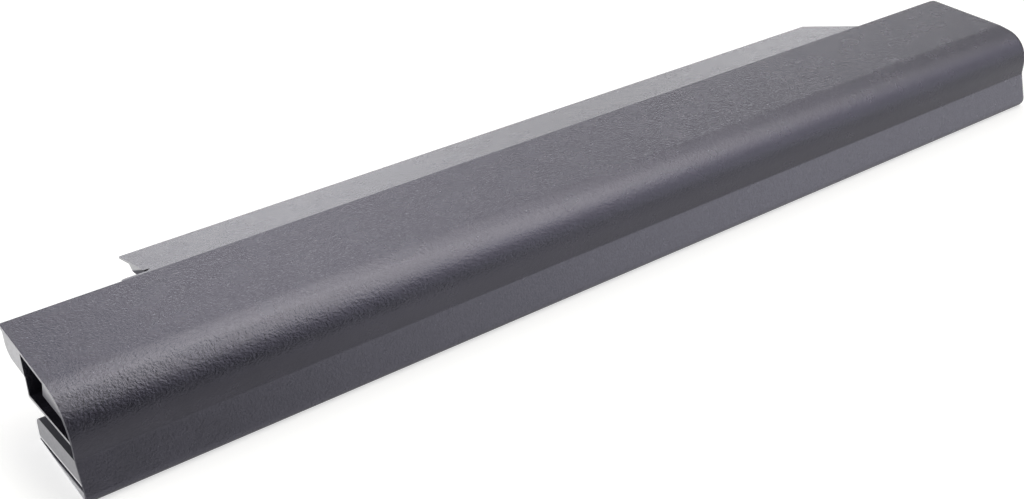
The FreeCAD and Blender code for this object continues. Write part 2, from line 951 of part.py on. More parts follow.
# Connector housing with one slot for each contact
housing = doc.addObject("PartDesign::Body", "connector_housing")
add_pad(
    housing,
    "XY_Plane",
    (
        (housing_left, housing_front),
        (housing_right, housing_front),
        (housing_right, housing_rear),
        (housing_left, housing_rear),
    ),
    housing_low,
    housing_high - housing_low,
)
slot_inner = housing_rear - s.slot_depth
slot_low = housing_low + s.slot_frame
slot_high = housing_high - s.slot_frame
for index in range(CONTACT_COUNT):
    middle = housing_left + s.connector_margin + index * s.contact_pitch
    add_pocket(
        housing,
        "XY_Plane",
        (
            (middle - s.slot_width / 2, slot_inner),
            (middle + s.slot_width / 2, slot_inner),
            (middle + s.slot_width / 2, housing_rear + PAST),
            (middle - s.slot_width / 2, housing_rear + PAST),
        ),
        slot_low,
        slot_high - slot_low,
    )
    passage = s.blade_wall / 2 + s.tail_gap
    add_pocket(
        housing,
        "XY_Plane",
        (
            (middle - passage, housing_front - PAST),
            (middle + passage, housing_front - PAST),
            (middle + passage, slot_inner + s.tail_gap),
            (middle - passage, slot_inner + s.tail_gap),
        ),
        board_top,
        s.blade_wall + s.tail_gap,
    )
    blade = block(
        f"contact_blade_{index + 1}",
        (middle - s.blade_wall / 2, slot_inner, slot_low + s.blade_margin),
        (middle + s.blade_wall / 2, housing_rear - s.connector_recess, slot_high - s.blade_margin),
    )
    tail = block(
        f"contact_tail_{index + 1}",
        (middle - s.blade_wall / 2, housing_front - s.tail_length, board_top),
        (middle + s.blade_wall / 2, slot_inner + s.blade_wall, board_top + s.blade_wall),
    )
    place_joined(fuse(f"contact_{index + 1}_form", [blade, tail]), f"contact_{index + 1}")
place(housing, as_size(0), as_size(0), 0)
keep(housing, "connector_housing")

# Parts soldered on the board, centred on its width
board_middle = (board_front + board_rear) / 2


def on_board(name, left, length, width, height):
    """A flat part on the board's upper face."""
    placed_block(
        name,
        (left, board_middle - width / 2, board_top),
        (left + length, board_middle + width / 2, board_top + height),
    )


spacing = 2 * s.small_pitch
fet_left = board_left + 2 * s.board_reach
on_board("charge_switch", fet_left, s.fet_length, s.fet_width, s.chip_height)
on_board("discharge_switch", fet_left + s.fet_length + spacing, s.fet_length, s.fet_width, s.chip_height)
fuse_left = fet_left + 2 * (s.fet_length + spacing)
on_board("fuse", fuse_left, s.fuse_length, s.fuse_width, s.fuse_height)
sense_left = fuse_left + s.fuse_length + spacing
on_board("sense_resistor", sense_left, s.resistor_length, s.resistor_width, s.resistor_height)
gauge_left = housing_right + spacing
on_board("gauge_chip", gauge_left, s.gauge_length, s.gauge_width, s.chip_height)
protector_left = gauge_left + s.gauge_length + spacing
on_board("protector_chip", protector_left, s.protector_length, s.protector_length, s.chip_height)


def small_parts(name, left, count, width_side):
    """A group of like chip parts in a row along the board."""
    parts = []
    middle = board_middle + width_side * s.small_pitch / 2
    for index in range(count):
        start = left + index * s.small_pitch
        parts.append(
            block(
                f"{name}_{index + 1}",
                (start, middle - s.small_width / 2, board_top),
                (start + s.small_length, middle + s.small_width / 2, board_top + s.small_height),
            )
        )
    group = doc.addObject("Part::Compound", name + "_group")
    group.Links = parts
    place_joined(group, name)


small_left = protector_left + s.protector_length + spacing
small_parts("capacitors", small_left, CAPACITOR_COUNT, 1)
small_parts("chip_resistors", small_left, RESISTOR_COUNT, -1)

# Thermistor: a bead that lies on the second cell, with two wires to the board
bead_radius = s.bead_diameter / 2
bead_middle = row_start + s.cell_length + (joint_gap + s.riser_width) / 2 + s.bead_gap + bead_radius
bead_y = cell_y + (cell_radius + bead_radius + s.cell_gap) / DIAGONAL
bead_z = board_top + bead_radius / 2
bead = doc.addObject("Part::Cylinder", "bead")
bind(bead, "Radius", bead_radius)
bind(bead, "Height", s.bead_length)
bind(bead, "Placement.Base.x", bead_middle)
bind(bead, "Placement.Base.y", bead_y)
bind(bead, "Placement.Base.z", bead_z)
bead.Placement.Rotation = FreeCAD.Rotation(FreeCAD.Vector(1, 0, 0), -90)
wires = []
for side in (-1, 1):
    wire = doc.addObject("Part::Cylinder", "bead_wire")
    bind(wire, "Radius", s.bead_wire / 2)
    bind(wire, "Height", foot_rear - bead_y - s.bead_length / 2)
    bind(wire, "Placement.Base.x", bead_middle + side * s.bead_spread / 2)
    bind(wire, "Placement.Base.y", bead_y + s.bead_length / 2)
    bind(wire, "Placement.Base.z", board_top + s.bead_wire / 2)
    wire.Placement.Rotation = FreeCAD.Rotation(FreeCAD.Vector(1, 0, 0), -90)
    wires.append(wire)
place_joined(fuse("thermistor_form", [bead] + wires), "thermistor")

# Insulated leads from the end tabs to the two ends of the board
lead_radius = s.lead_diameter / 2
lead_y = (board_front + foot_rear) / 2
lead_z = board_top + s.strip_wall + lead_radius


def make_lead(name, start, end):
    """A straight insulated wire along x, from a tab's foot to the board."""
    lead = doc.addObject("Part::Cylinder", name)
    bind(lead, "Radius", lead_radius)
    bind(lead, "Height", end - start)
    lead.Placement.Rotation = FreeCAD.Rotation(FreeCAD.Vector(0, 1, 0), 90)
    place(lead, start, lead_y, lead_z)
    keep(lead, name)


make_lead("negative_lead", tab_left + s.strip_wall, board_left + s.lead_lap)
make_lead("positive_lead", board_right - s.lead_lap, tab_right)

# Check and export
doc.recompute()
for thing in doc.Objects:
    if "Invalid" in thing.State or "Error" in thing.State:
        raise RuntimeError(f"{thing.Name} ({thing.Label}) is {thing.State}")
os.makedirs("parts", exist_ok=True)
GROUPS = {"capacitors": CAPACITOR_COUNT, "chip_resistors": RESISTOR_COUNT}
for name, thing in nodes.items():
    shape = thing.Shape
    if shape.isNull() or not shape.isValid():
        raise RuntimeError(f"{name} has no valid shape")
    if len(shape.Solids) != GROUPS.get(name, 1):
        raise RuntimeError(f"{name} has {len(shape.Solids)} solids")
for name, thing in nodes.items():
    thing.Shape.exportStep(f"parts/{name}.step")
    box = thing.Shape.BoundBox
    print(
        f"{name}: {thing.Shape.Volume:.1f} mm3, x {box.XMin:.2f} to {box.XMax:.2f},"
        f" y {box.YMin:.2f} to {box.YMax:.2f}, z {box.ZMin:.2f} to {box.ZMax:.2f}"
    )
print(f"{len(nodes)} pieces, case {case_length.value:.1f} x {case_depth.value:.1f} x {case_height.value:.1f} mm")
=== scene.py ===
# %% [markdown]
# # A laptop battery
#
# The pack is a long bar. Its deep, rounded front holds a row of round cells, its thin rear part holds
# the circuit board, and a tapered tongue runs along the rear edge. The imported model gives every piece
# at its real size, in metres, with the origin on the table under the middle of the pack. X runs along
# the pack, Y points to the tongue and Z up.

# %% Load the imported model
import json
import math

import bmesh
import bpy
from mathutils import Matrix, Vector


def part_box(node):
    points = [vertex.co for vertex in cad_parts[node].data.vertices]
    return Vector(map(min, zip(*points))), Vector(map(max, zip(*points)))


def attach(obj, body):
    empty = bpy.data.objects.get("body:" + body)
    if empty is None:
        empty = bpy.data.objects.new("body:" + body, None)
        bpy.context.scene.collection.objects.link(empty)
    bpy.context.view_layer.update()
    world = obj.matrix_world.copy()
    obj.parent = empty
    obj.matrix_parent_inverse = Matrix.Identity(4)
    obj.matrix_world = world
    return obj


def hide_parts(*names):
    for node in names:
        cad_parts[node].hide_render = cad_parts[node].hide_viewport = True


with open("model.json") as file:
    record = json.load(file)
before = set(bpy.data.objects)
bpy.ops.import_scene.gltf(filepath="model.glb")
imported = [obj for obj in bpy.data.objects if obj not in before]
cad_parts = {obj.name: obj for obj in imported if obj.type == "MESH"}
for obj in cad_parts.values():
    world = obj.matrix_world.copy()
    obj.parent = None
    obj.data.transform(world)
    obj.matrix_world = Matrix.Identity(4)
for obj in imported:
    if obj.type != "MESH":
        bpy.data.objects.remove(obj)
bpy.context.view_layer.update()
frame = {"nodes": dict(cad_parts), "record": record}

MM = 0.001
nodes = frame["nodes"]
scene = bpy.context.scene

# %% [markdown]
# ## Camera
#
# The viewpoint was worked out from the straight edges of the pack. It stands to the left of the open
# end, in front and above, and looks down along the pack, so that the near end looks much larger than
# the far one. A camera is three unit arrows, to the right, up and backwards, and a place. Building it
# from its turn, tilt and lean keeps each of these a plain number.

# %% Camera
CAMERA_PLACE = Vector((-188.38, -217.26, 169.12)) * MM
CAMERA_YAW = math.radians(37.15)
CAMERA_PITCH = math.radians(31.89)
CAMERA_LEAN = math.radians(0.287)
LENS_MM = 48.563
SENSOR_MM = 36.0

forward = Vector((
    math.sin(CAMERA_YAW) * math.cos(CAMERA_PITCH),
    math.cos(CAMERA_YAW) * math.cos(CAMERA_PITCH),
    -math.sin(CAMERA_PITCH),
))
level_right = Vector((math.cos(CAMERA_YAW), -math.sin(CAMERA_YAW), 0.0))
level_up = level_right.cross(forward)
right = math.cos(CAMERA_LEAN) * level_right + math.sin(CAMERA_LEAN) * level_up
up = math.cos(CAMERA_LEAN) * level_up - math.sin(CAMERA_LEAN) * level_right

camera_data = bpy.data.cameras.new("camera")
camera_data.sensor_fit = "HORIZONTAL"
camera_data.sensor_width = SENSOR_MM
camera_data.lens = LENS_MM
camera_data.clip_start = 0.01
camera_data.clip_end = 20.0
camera = bpy.data.objects.new("camera", camera_data)
scene.collection.objects.link(camera)
turn = Matrix((right, up, -forward)).transposed()
camera.matrix_world = Matrix.Translation(CAMERA_PLACE) @ turn.to_4x4()
scene.camera = camera
print("camera at", [round(v, 3) for v in CAMERA_PLACE])

# %% [markdown]
# ## Small helpers for node trees
#
# Every finish below is a tree of nodes. These helpers add a node with its values, blend one level
# into another and do sums, so that a finish reads as a few plain lines. A value that is itself an
# output of another node is linked, and anything else is set.

# %% Helpers for node trees
def tree_of(owner):
    """An empty node tree of a material or world, ready to fill."""
    owner.use_nodes = True
    owner.node_tree.nodes.clear()
    return owner.node_tree


def fill(tree, node, inputs):
    """Set or link a node's inputs by name. A name such as _0 picks an input by its number."""
    for name, value in inputs.items():
        socket = node.inputs[int(name[1:])] if name[0] == "_" else node.inputs[name.replace("_", " ")]
        if isinstance(value, bpy.types.NodeSocket):
            tree.links.new(value, socket)
        else:
            socket.default_value = value


def add_node(tree, kind, settings=(), **inputs):
    """Add a node with its settings and inputs."""
    node = tree.nodes.new(kind)
    for name, value in dict(settings).items():
        setattr(node, name, value)
    fill(tree, node, inputs)
    return node


def ramp(tree, value, start, end, low, high):
    """A smooth change from one level to another as a value rises."""
    node = add_node(
        tree, "ShaderNodeMapRange", {"interpolation_type": "SMOOTHSTEP"},
        Value=value, From_Min=start, From_Max=end, To_Min=low, To_Max=high,
    )
    return node.outputs["Result"]


def combine(tree, operation, first, second):
    """Arithmetic on two values."""
    return add_node(tree, "ShaderNodeMath", {"operation": operation}, _0=first, _1=second).outputs["Value"]


def blend(tree, amount, first, second):
    """A colour between two colours."""
    node = add_node(tree, "ShaderNodeMix", {"data_type": "RGBA"}, _0=amount, _6=first, _7=second)
    return node.outputs[2]


def axes(tree, vector):
    """The three values of a vector."""
    parts = add_node(tree, "ShaderNodeSeparateXYZ", Vector=vector)
    return [parts.outputs[axis] for axis in "XYZ"]


def object_point(tree):
    """Where a point lies on the object, in metres."""
    return add_node(tree, "ShaderNodeTexCoord").outputs["Object"]


print("helpers ready")

# %% [markdown]
# ## Table
#
# The pack lies on a white table. The table's paint is plain and matt. What the camera sees of it is
# lifted, so that it reads as a clean white ground that still keeps the pack's soft shadow, while the
# light that it throws back on the pack stays plain. What the glossy plastic mirrors of it is lifted
# by a smaller share, because in the photo the front of the pack mirrors a duller ground. In front of
# the left end the mirrored ground isn't lifted at all: there the photo's plastic is darkest, as it is
# where an object mirrors its own shade on the ground.

# %% Table
TABLE_SIZE = 12.0
TABLE_PAINT = (0.52, 0.52, 0.52, 1.0)
TABLE_LIFT = 0.62
MIRROR_SHARE = 0.45
SHADE_ALONG = (-108.0 * MM, -50.0 * MM)
SHADE_AWAY = (-37.0 * MM, -31.0 * MM)


def open_ground(tree):
    """One on open ground, nought in the pack's shade in front of its left end."""
    across, depth, _height = axes(tree, object_point(tree))
    beyond = ramp(tree, across, *SHADE_ALONG, 0.0, 1.0)
    close = ramp(tree, depth, *SHADE_AWAY, 0.0, 1.0)
    return combine(tree, "MAXIMUM", beyond, close)


def make_table():
    """A wide square table top at height nought."""
    mesh = bpy.data.meshes.new("table_top")
    shape = bmesh.new()
    bmesh.ops.create_grid(shape, x_segments=1, y_segments=1, size=TABLE_SIZE / 2)
    shape.to_mesh(mesh)
    shape.free()
    table = bpy.data.objects.new("table_top", mesh)
    scene.collection.objects.link(table)
    material = bpy.data.materials.new("table_white")
    tree = tree_of(material)
    paint = add_node(tree, "ShaderNodeBsdfDiffuse", Color=TABLE_PAINT)
    seen = add_node(tree, "ShaderNodeLightPath").outputs
    glossy = combine(tree, "MAXIMUM", seen["Is Glossy Ray"], seen["Is Transmission Ray"])
    mirrored = combine(tree, "MULTIPLY", combine(tree, "MULTIPLY", glossy, open_ground(tree)), MIRROR_SHARE)
    either = combine(tree, "MAXIMUM", seen["Is Camera Ray"], mirrored)
    lift = add_node(tree, "ShaderNodeEmission", Strength=combine(tree, "MULTIPLY", either, TABLE_LIFT))
    surface = add_node(tree, "ShaderNodeAddShader", _0=paint.outputs["BSDF"], _1=lift.outputs["Emission"])
    add_node(tree, "ShaderNodeOutputMaterial", Surface=surface.outputs["Shader"])
    mesh.materials.append(material)


make_table()
print("table of", TABLE_SIZE, "m")

# %% [markdown]
# ## Room and lamps
#
# Dark plastic shows its form mostly by what it mirrors. In the photo a low bright wall stands behind
# the pack, a broad soft light hangs over it, and the front of the room is dim on the left and lighter
# on the right. That is why the tongue shines, the band over the shoulder is light and the front falls
# off to near black. A world shader can paint this room as a few soft lights, each a smooth round glow
# about its own direction. Only the directions that the case mirrors into the camera matter, so each
# was found by following the view off the case at one place of the photo. The walls are a little cool
# and the lights overhead a little warm, as the photo shows on the flat top and on the round shoulder,
# and the low light in front is a little green, as the dark band under the shoulder is. Their sum is
# held at the level at which a colour on the table renders about as it is written.

# %% Room and lamps
ROOM_LEVEL = 0.80
ROOM_DIM = 0.05
LEFT_GLOW = 0.50
LEFT_SPREAD = (-0.6, 0.0)
WHITE = Vector((1.0, 1.0, 1.0))
COOL = Vector((0.97, 0.95, 1.04))
WARM = Vector((1.0, 0.99, 0.90))
GREEN = Vector((0.95, 1.0, 0.92))
SOFT_LIGHTS = {
    # name: turn from +Y to +X and rise in degrees, cosine at its rim, glow in its middle, tint
    "low wall on the left": (13, 0, 0.90, 2.50, WHITE),
    "low wall": (33, 0, 0.90, 1.70, WHITE),
    "low wall on the right": (54, -1, 0.925, 2.15, WHITE),
    "wall on the left": (17, 34, 0.92, 0.85, COOL),
    "wall": (40, 34, 0.92, 0.68, COOL),
    "high wall on the left": (26, 56, 0.955, 4.00, WARM),
    "high wall on the right": (64, 46, 0.955, 0.95, COOL),
    "overhead": (48, 61, 0.93, 2.65, WARM),
    "overhead on the right": (85, 60, 0.92, 2.15, WARM),
    "overhead in front": (121, 60, 0.90, 2.95, WARM),
    "right side": (102, 42, 0.86, 0.50, COOL),
    "front on the right": (130, 30, 0.84, 1.32, COOL),
    "low front on the right": (138, 4, 0.90, 0.82, GREEN),
}


def direction(turn, rise):
    """The unit arrow at a turn from +Y to +X and a rise above the table, in degrees."""
    turn, rise = math.radians(turn), math.radians(rise)
    return Vector((math.cos(rise) * math.sin(turn), math.cos(rise) * math.cos(turn), math.sin(rise)))


def vector_math(tree, operation, first, second):
    """Arithmetic on two vectors. Gives the node's outputs."""
    return add_node(tree, "ShaderNodeVectorMath", {"operation": operation}, _0=first, _1=second).outputs


def tinted(tree, tint, level):
    """A tint at a level of brightness."""
    node = add_node(tree, "ShaderNodeVectorMath", {"operation": "SCALE"}, _0=tint, Scale=level)
    return node.outputs["Vector"]


def make_room():
    """A dim room with soft lights, each in its own tint."""
    world = bpy.data.worlds.new("room")
    tree = tree_of(world)
    spot = add_node(tree, "ShaderNodeTexCoord").outputs["Generated"]
    dim = ramp(tree, axes(tree, spot)[0], *LEFT_SPREAD, LEFT_GLOW, ROOM_DIM)
    glow = tinted(tree, WHITE, dim)
    for turn, rise, rim, power, tint in SOFT_LIGHTS.values():
        towards = vector_math(tree, "DOT_PRODUCT", spot, direction(turn, rise))["Value"]
        patch = tinted(tree, tint, ramp(tree, towards, rim, 1.0, 0.0, power))
        glow = vector_math(tree, "ADD", glow, patch)["Vector"]
    paint = add_node(tree, "ShaderNodeBackground", Color=glow, Strength=ROOM_LEVEL)
    add_node(tree, "ShaderNodeOutputWorld", Surface=paint.outputs["Background"])
    scene.world = world


def add_lamp(name, place, aim, size, power):
    """A broad lamp that points at a place."""
    data = bpy.data.lights.new(name, "AREA")
    data.shape = "RECTANGLE"
    data.size, data.size_y = size
    data.energy = power
    lamp = bpy.data.objects.new(name, data)
    scene.collection.objects.link(lamp)
    lamp.location = place
    lamp.rotation_euler = (Vector(aim) - Vector(place)).to_track_quat("-Z", "Y").to_euler()


scene.view_settings.view_transform = "Standard"
make_room()
add_lamp("lamp_left", place=(-0.8, 0.2, 0.25), aim=(-0.12, 0.0, 0.01), size=(0.5, 0.4), power=3.0)

# %% [markdown]
# ## Softened mouldings
#
# A mould never leaves a knife edge: the plastic rounds off by a tenth or two of a millimetre, and
# that small round catches the light. The two halves of the case and the connector are copied from
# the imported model, merged into closed meshes and bevelled along every sharp edge. The crease between
# the top and the tongue is rounder than the rest, so it gets its own, wider bevel first. A Bevel
# modifier would round every edge alike, so the operator is used on chosen edges instead. Each new
# round face is marked in an attribute named edge, and the finishes use it for wear.

# %% Softened mouldings
MERGE = 0.001 * MM
FLAT_ANGLE = math.radians(0.25)
EDGE_ANGLE = math.radians(12)
CREASE_RADIUS = 0.35 * MM
CREASE_LEVEL = 0.02 * MM
CREASE_ANGLE = math.radians(20)
top_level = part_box("upper_shell")[1][2]


def bevel(shape, edges, radius, segments, mark):
    """Round some edges and mark the new faces."""
    made = bmesh.ops.bevel(
        shape, geom=edges, offset=radius, offset_type="OFFSET", affect="EDGES",
        segments=segments, profile=0.5, material=-1, clamp_overlap=True,
    )
    for face in made["faces"]:
        face[mark] = 1.0


def is_crease(edge):
    """Whether an edge lies where the flat top turns down into the tongue."""
    level = all(abs(vert.co.z - top_level) < CREASE_LEVEL for vert in edge.verts)
    return level and EDGE_ANGLE < edge.calc_face_angle(0.0) < CREASE_ANGLE


def softened(node, radius, segments=2):
    """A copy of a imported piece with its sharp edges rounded."""
    mesh = nodes[node].data.copy()
    mesh.name = node + "_soft"
    shape = bmesh.new()
    shape.from_mesh(mesh)
    mark = shape.faces.layers.float.new("edge")
    bmesh.ops.remove_doubles(shape, verts=shape.verts, dist=MERGE)
    bmesh.ops.dissolve_limit(
        shape, angle_limit=FLAT_ANGLE, verts=shape.verts, edges=shape.edges, delimit=set(),
    )
    creases = [edge for edge in shape.edges if is_crease(edge)]
    bevel(shape, creases, CREASE_RADIUS, 3, mark)
    sharp = [edge for edge in shape.edges if edge.calc_face_angle(0.0) > EDGE_ANGLE]
    bevel(shape, sharp, radius, segments, mark)
    bmesh.ops.recalc_face_normals(shape, faces=shape.faces)
    open_edges = sum(1 for edge in shape.edges if len(edge.link_faces) != 2)
    shape.to_mesh(mesh)
    shape.free()
    mesh.shade_smooth()
    piece = bpy.data.objects.new(node + "_soft", mesh)
    scene.collection.objects.link(piece)
    piece.modifiers.new("weighted", "WEIGHTED_NORMAL")
    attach(piece, "root")
    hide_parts(node)
    print(piece.name, len(mesh.polygons), "faces, creases:", len(creases), "open edges:", open_edges)
    return piece


shell = softened("upper_shell", 0.12 * MM)
cover = softened("base_cover", 0.08 * MM)
housing = softened("connector_housing", 0.06 * MM)

# %% [markdown]
# ## Shared effects
#
# Three effects come back in many finishes, so each is built once as a node group and placed in every
# material with its own values. A group has named inputs and puts out plain levels, and the shader
# stays in the material. All three read object coordinates, so the size of a grain is the same on
# every piece.

# %% Helpers for node groups
FLOAT = "NodeSocketFloat"
VECTOR = "NodeSocketVector"


def new_group(name, inputs, outputs):
    """A node group with named inputs and outputs. Returns it with its tree's two ends."""
    tree = bpy.data.node_groups.new(name, "ShaderNodeTree")
    for label, kind, value in inputs:
        socket = tree.interface.new_socket(label, in_out="INPUT", socket_type=kind)
        if value is not None:
            socket.default_value = value
    for label in outputs:
        tree.interface.new_socket(label, in_out="OUTPUT", socket_type=FLOAT)
    start = tree.nodes.new("NodeGroupInput")
    end = tree.nodes.new("NodeGroupOutput")
    return tree, start.outputs, end


def noise(tree, vector, **inputs):
    """The level of a cloudy noise."""
    return add_node(tree, "ShaderNodeTexNoise", Vector=vector, **inputs).outputs["Fac"]


def place_group(tree, group, **inputs):
    """Place a shared effect in a material with its own values."""
    return add_node(tree, "ShaderNodeGroup", {"node_tree": group}, **inputs).outputs


print("group helpers ready")

# %% [markdown]
# ## Moulded grain
#
# A spark-etched mould gives plastic a fine pebbled skin. The pebbles could be bumps of the mesh
# itself, but that would take millions of faces, so they are a noise that a Bump node reads as a
# height. A second, coarser noise makes the pebbles less even. A third, some ten grains wide, is a soft
# mottle for colour and gloss.

# %% Moulded grain
def make_moulded_grain():
    """Height of pebbled grain, and a soft mottle some ten grains wide. Grain size is in metres."""
    inputs = (("Vector", VECTOR, None), ("Grain Size", FLOAT, 0.0005))
    tree, start, end = new_group("moulded_grain", inputs, ("Height", "Mottle"))
    scale = combine(tree, "DIVIDE", 1.0, start["Grain Size"])
    pebbles = noise(tree, start["Vector"], Scale=scale, Detail=3.0, Roughness=0.6)
    swell = noise(tree, start["Vector"], Scale=combine(tree, "MULTIPLY", scale, 0.45), Detail=1.0)
    mottle = noise(tree, start["Vector"], Scale=combine(tree, "MULTIPLY", scale, 0.09), Detail=3.0)
    height = combine(tree, "ADD", pebbles, combine(tree, "MULTIPLY", swell, 0.4))
    tree.links.new(height, end.inputs["Height"])
    tree.links.new(ramp(tree, mottle, 0.3, 0.7, 0.0, 1.0), end.inputs["Mottle"])
    return tree


moulded_grain = make_moulded_grain()
print("group:", moulded_grain.name)

# %% [markdown]
# ## Handling
#
# Thin dust settles on upward faces, and use leaves faint scuffs. Both are masks between nought and
# one. Fine specks and strokes are multiplied by broad patches, so that the wear is as uneven as it is
# on a real pack.

# %% Handling
def make_handling():
    """Masks of dust that settles on upward faces, and of scuffs."""
    inputs = (("Vector", VECTOR, None), ("Dust", FLOAT, 0.5), ("Scuffs", FLOAT, 0.5))
    tree, start, end = new_group("handling", inputs, ("Dust", "Scuffs"))
    facing = axes(tree, add_node(tree, "ShaderNodeNewGeometry").outputs["Normal"])[2]
    upward = ramp(tree, facing, 0.4, 1.0, 0.15, 1.0)
    specks = noise(tree, start["Vector"], Scale=900.0, Detail=4.0, Roughness=0.7)
    patches = noise(tree, start["Vector"], Scale=35.0, Detail=3.0)
    dusty = ramp(tree, patches, 0.35, 0.75, 0.1, 1.0)
    dust = combine(tree, "MULTIPLY", ramp(tree, specks, 0.5, 0.8, 0.0, 1.0), dusty)
    dust = combine(tree, "MULTIPLY", combine(tree, "MULTIPLY", dust, upward), start["Dust"])
    stretch = add_node(
        tree, "ShaderNodeMapping", Vector=start["Vector"], Rotation=(0.0, 0.0, 0.5),
        Scale=(40.0, 900.0, 300.0),
    )
    lines = noise(tree, stretch.outputs["Vector"], Scale=1.0, Detail=2.0)
    handled = ramp(tree, patches, 0.45, 0.65, 0.0, 1.0)
    scuffs = combine(tree, "MULTIPLY", ramp(tree, lines, 0.68, 0.78, 0.0, 1.0), handled)
    tree.links.new(dust, end.inputs["Dust"])
    tree.links.new(combine(tree, "MULTIPLY", scuffs, start["Scuffs"]), end.inputs["Scuffs"])
    return tree


handling = make_handling()
print("group:", handling.name)

# %% [markdown]
# ## Drawn grain
#
# Rolled or drawn metal has fine lines along its length. A noise stretched a hundred times along X
# gives them with a single node, and a finer one than scratches drawn one by one.

# %% Drawn grain
def make_drawn_grain():
    """Height and tone of fine lines along X."""
    inputs = (("Vector", VECTOR, None), ("Line Width", FLOAT, 0.00008))
    tree, start, end = new_group("drawn_grain", inputs, ("Height", "Tone"))
    stretch = add_node(tree, "ShaderNodeMapping", Vector=start["Vector"], Scale=(0.01, 1.0, 1.0))
    scale = combine(tree, "DIVIDE", 1.0, start["Line Width"])
    lines = noise(tree, stretch.outputs["Vector"], Scale=scale, Detail=3.0)
    stains = noise(tree, start["Vector"], Scale=250.0, Detail=3.0)
    tone = combine(tree, "MULTIPLY", lines, stains)
    tree.links.new(lines, end.inputs["Height"])
    tree.links.new(ramp(tree, tone, 0.1, 0.42, 0.0, 1.0), end.inputs["Tone"])
    return tree


drawn_grain = make_drawn_grain()
print("group:", drawn_grain.name)

# %% [markdown]
# ## Faces by their direction
#
# The faces of the open left end that look to the left are matt, and their colour is painted much paler:
# painted light, for the strong light that falls on them from the left. Such places could be painted on
# a map of the surface.
# A mask that finds them by where they lie and which way they face needs no map and has a clean rim.

# %% Faces by their direction
# a change over a distance, or over how far a face is turned: from, to
END_LINE = (-135.0 * MM, -134.6 * MM)
END_FACING = (0.55, 0.85)


def facing(tree):
    """The three values of the surface's direction."""
    return axes(tree, add_node(tree, "ShaderNodeNewGeometry").outputs["True Normal"])


def faces_left(tree):
    """One on faces that look to the left, nought elsewhere."""
    return ramp(tree, combine(tree, "MULTIPLY", facing(tree)[0], -1.0), *END_FACING, 0.0, 1.0)


def looks_left(tree, point):
    """One on the left-facing faces of the open left end."""
    at_end = ramp(tree, axes(tree, point)[0], *END_LINE, 1.0, 0.0)
    return combine(tree, "MULTIPLY", at_end, faces_left(tree))


print("the open end reaches to x =", END_LINE[1])

# %% [markdown]
# ## Hook's top and tongue's end
#
# The hook's upper face is dull, and its colour is painted dark as the shade in the slot over it. The
# tongue's left end face is painted pale as painted light from the left, down to a dark foot beside the
# notch that is painted shade. The foot's upper line is slanted, so its mask reads a sum of height and
# depth instead of the height alone.

# %% Hook's top and tongue's end
# where the painted shade on the hook's top and the painted light and shade on the tongue's end lie
HOOK_TOP_END = (-129.4 * MM, -129.1 * MM)
HOOK_TOP_LEVEL = (6.3 * MM, 6.6 * MM)
HOOK_TOP_FACING = (0.4, 0.8)
TONGUE_END = -107.1 * MM
TONGUE_END_REACH = (0.3 * MM, 0.5 * MM)
TONGUE_FOOT_SLOPE = 0.556
# how pale a place is: the change starts at, ends at, level before, level after
TONGUE_PALE = (26.2 * MM, 26.6 * MM, 0.0, 0.60)


def hook_top(tree, across, height):
    """One on the hook's upper face, which is made matt and painted dark as painted shade in the slot."""
    in_recess = ramp(tree, across, *HOOK_TOP_END, 1.0, 0.0)
    low = ramp(tree, height, *HOOK_TOP_LEVEL, 1.0, 0.0)
    upward = ramp(tree, facing(tree)[2], *HOOK_TOP_FACING, 0.0, 1.0)
    return combine(tree, "MULTIPLY", combine(tree, "MULTIPLY", in_recess, low), upward)


def tongue_end(tree, across, depth, height):
    """The tongue's left end face, and how pale it is painted: painted shade low down beside the notch,
    painted light above.
    """
    away = combine(tree, "ABSOLUTE", combine(tree, "SUBTRACT", across, TONGUE_END), 0.0)
    on_end = combine(tree, "MULTIPLY", ramp(tree, away, *TONGUE_END_REACH, 1.0, 0.0), faces_left(tree))
    slanted = combine(tree, "ADD", height, combine(tree, "MULTIPLY", depth, TONGUE_FOOT_SLOPE))
    return on_end, combine(tree, "MULTIPLY", on_end, ramp(tree, slanted, *TONGUE_PALE))


print("the tongue ends at x =", TONGUE_END)

# %% [markdown]
# ## Painted light and shade on the shell's left end
#
# The paleness painted on the left end changes with height: painted light where the light from the left
# falls, painted shade where it doesn't. The hook is mid grey with a pale lower edge and the shelf over
# it is a little paler. Above the shelf the skin goes from dark at the front to pale along the flat top.
# Each change is one ramp. Where two meet, they are added or the larger one counts.

# %% Painted light and shade on the shell's left end
# levels of painted light and painted shade on the faces of the left end
# each change starts at, ends at, level before, level after
HOOK_PALE = (0.9 * MM, 1.4 * MM, 1.0, 0.375)
SHELF_PALE = (6.6 * MM, 8.6 * MM, 0.0, 0.10)
INNER_PALE = (-22.6 * MM, -21.8 * MM, 0.05, 1.0)
SKIN_PALE = (15.8 * MM, 20.2 * MM, 0.03, 0.50)
REAR_PALE = (-3.5 * MM, -2.0 * MM, 0.0, 0.63)
ABOVE_SHELF = (10.3 * MM, 11.0 * MM, 0.0, 1.0)


def shell_painted_light(tree, point):
    """Where the shell's left end gets painted light and shade, and how pale it is painted there."""
    across, depth, height = axes(tree, point)
    left = looks_left(tree, point)
    hook_and_shelf = combine(tree, "ADD", ramp(tree, height, *HOOK_PALE), ramp(tree, height, *SHELF_PALE))
    low = combine(tree, "MULTIPLY", hook_and_shelf, ramp(tree, depth, *INNER_PALE))
    high = combine(tree, "MAXIMUM", ramp(tree, height, *SKIN_PALE), ramp(tree, depth, *REAR_PALE))
    above = ramp(tree, height, *ABOVE_SHELF)
    pale = add_node(tree, "ShaderNodeMix", _0=above, _2=low, _3=high).outputs[0]
    on_tongue, tongue_pale = tongue_end(tree, across, depth, height)
    painted_end = combine(tree, "MAXIMUM", left, on_tongue)
    painted_end = combine(tree, "MAXIMUM", painted_end, hook_top(tree, across, height))
    return painted_end, combine(tree, "ADD", combine(tree, "MULTIPLY", left, pale), tongue_pale)


print("the skin's paleness goes from", SKIN_PALE[2], "to", SKIN_PALE[3])
